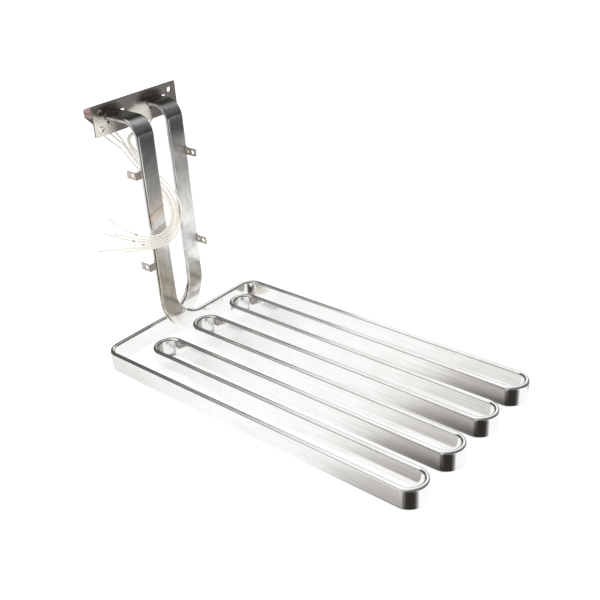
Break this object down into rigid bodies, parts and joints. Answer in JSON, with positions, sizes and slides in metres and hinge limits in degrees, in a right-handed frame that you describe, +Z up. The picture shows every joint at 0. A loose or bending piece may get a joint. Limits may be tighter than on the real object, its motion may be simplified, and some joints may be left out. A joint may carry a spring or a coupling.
{
  "type": "flat tubular heating element",
  "caption": "Flat-sheathed immersion heating element: one oblong tube bent into on-edge runs, two upright legs, a bolt-on plate, side clips and wired rubber seals.",
  "frame": {"origin": "middle of the heater's overall box without its wires, on the surface that the runs stand on", "axes": "+X along the runs, from the legs to the far bends; +Y across the runs, toward the leg that stands behind; +Z up the legs"},
  "size_m": [0.5039, 0.237, 0.2995],
  "materials": {
    "tube_steel": "polished, faintly brown from drawing",
    "plate_steel": "bright rolled sheet",
    "weld": "dull weld",
    "clip_steel": "bright sheet, brown reflections",
    "fill": "packed mineral powder",
    "coil_alloy": "dull resistance wire",
    "pin_steel": "plain drawn wire",
    "seal_rubber": "matt moulded rubber, dull pink",
    "lead_cover": "smooth off-white insulation",
    "lead_strand": "bare twisted plated strand"
  },
  "bodies": {
    "root": {"sheath": "tube_steel", "mineral_fill": "fill", "mounting_plate": "plate_steel", "weld_bead_left": "weld", "weld_bead_right": "weld", "clip_left_upper": "clip_steel", "clip_left_lower": "clip_steel", "clip_right_upper": "clip_steel", "clip_right_lower": "clip_steel", "end_seal_left": "seal_rubber", "end_seal_right": "seal_rubber", "heating_coil_1": "coil_alloy", "terminal_pin_left_1": "pin_steel", "terminal_pin_right_1": "pin_steel", "heating_coil_2": "coil_alloy", "terminal_pin_left_2": "pin_steel", "terminal_pin_right_2": "pin_steel", "heating_coil_3": "coil_alloy", "terminal_pin_left_3": "pin_steel", "terminal_pin_right_3": "pin_steel", "lead_1": "lead_cover", "lead_tip_1": "lead_strand", "lead_2": "lead_cover", "lead_tip_2": "lead_strand", "lead_3": "lead_cover", "lead_tip_3": "lead_strand", "lead_4": "lead_cover", "lead_tip_4": "lead_strand", "lead_5": "lead_cover", "lead_tip_5": "lead_strand", "lead_6": "lead_cover", "lead_tip_6": "lead_strand"}
  },
  "joints": []
}
